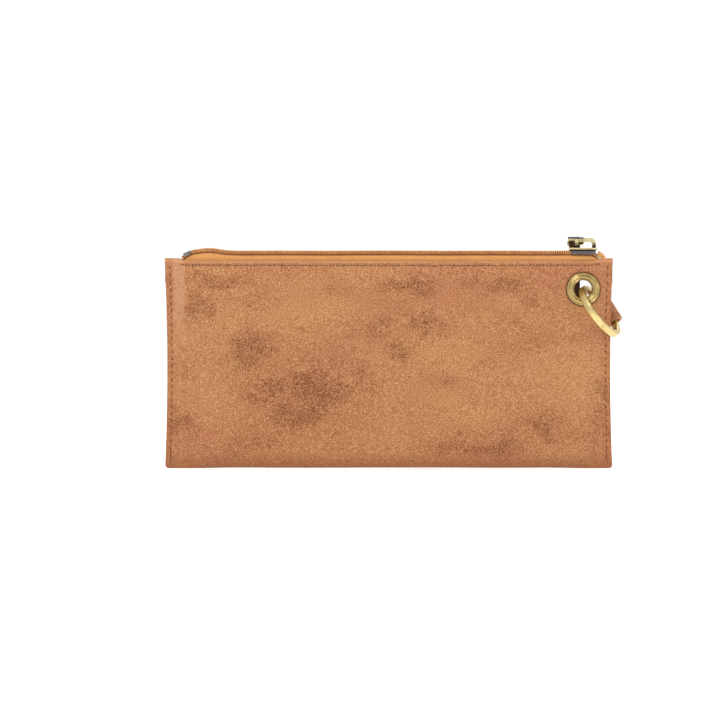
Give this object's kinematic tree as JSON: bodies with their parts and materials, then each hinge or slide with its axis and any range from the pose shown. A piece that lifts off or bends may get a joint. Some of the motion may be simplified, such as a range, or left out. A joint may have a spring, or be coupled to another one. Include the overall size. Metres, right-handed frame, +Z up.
{
  "type": "wristlet wallet",
  "caption": "Flat zipped leather wristlet wallet with a bottom fold, a brass eyelet, a strap ring, a sliding zip pull and a hand strap.",
  "frame": {"origin": "middle of the flat strip under the bottom fold, which the wallet stands on", "axes": "+Z up from the fold to the zip, +X towards the eyelet side, the front panel faces -Y"},
  "size_m": [0.2154, 0.0719, 0.1088],
  "materials": {
    "tan_leather": "distressed nubuck",
    "dark_leather": "smooth",
    "lining_cloth": "woven",
    "zip_tape": "woven",
    "zip_coil": "satin nylon",
    "grey_metal": "dark plated",
    "antique_brass": "antiqued",
    "light_brass": "brushed antique",
    "dark_thread": "waxed thread",
    "light_thread": "waxed thread"
  },
  "bodies": {
    "pouch": {"leather_shell": "tan_leather", "hem_front": "tan_leather", "hem_back": "tan_leather", "lining_front": "lining_cloth", "lining_back": "lining_cloth", "card_pocket": "tan_leather", "zip_tape_front": "zip_tape", "zip_tape_back": "zip_tape", "zip_coil_front": "zip_coil", "zip_coil_back": "zip_coil", "bottom_stop": "grey_metal", "top_stops": "antique_brass", "eyelet": "antique_brass", "eyelet_washer": "antique_brass", "top_stitching_front": "dark_thread", "top_stitching_back": "dark_thread", "side_seam_left": "dark_thread", "side_seam_right": "dark_thread"},
    "slider": {"slider_body": "antique_brass", "slider_bridge": "antique_brass"},
    "link": {"pull_link": "antique_brass", "pull_link_pin": "antique_brass"},
    "tab": {"pull_tab": "dark_leather", "pull_tab_stitches": "light_thread"},
    "ring": {"strap_ring": "light_brass"},
    "strap": {"wrist_strap": "tan_leather", "strap_stitches": "light_thread"}
  },
  "joints": [
    {"name": "zip_slide", "type": "slide", "parent": "pouch", "child": "slider", "axis": [-1, 0, 0], "range_m": [0, 0.176]},
    {"name": "link_hinge", "type": "hinge", "parent": "slider", "child": "link", "pos_m": [0.0903, 0, 0.1069], "axis": [1, 0, 0], "range_deg": [0, 200]},
    {"name": "tab_hinge", "type": "hinge", "parent": "link", "child": "tab", "pos_m": [0.0875, 0.007, 0.1056], "axis": [1, 0, 0], "range_deg": [0, 155]},
    {"name": "ring_swing", "type": "hinge", "parent": "pouch", "child": "ring", "pos_m": [0.0912, 0, 0.0842], "axis": [0, -1, 0], "range_deg": [0, 85]},
    {"name": "strap_swing", "type": "hinge", "parent": "ring", "child": "strap", "pos_m": [0.10411, 0.01169, 0.07264], "axis": [0.503, -0.3002, -0.8105], "range_deg": [-3, 120]}
  ]
}
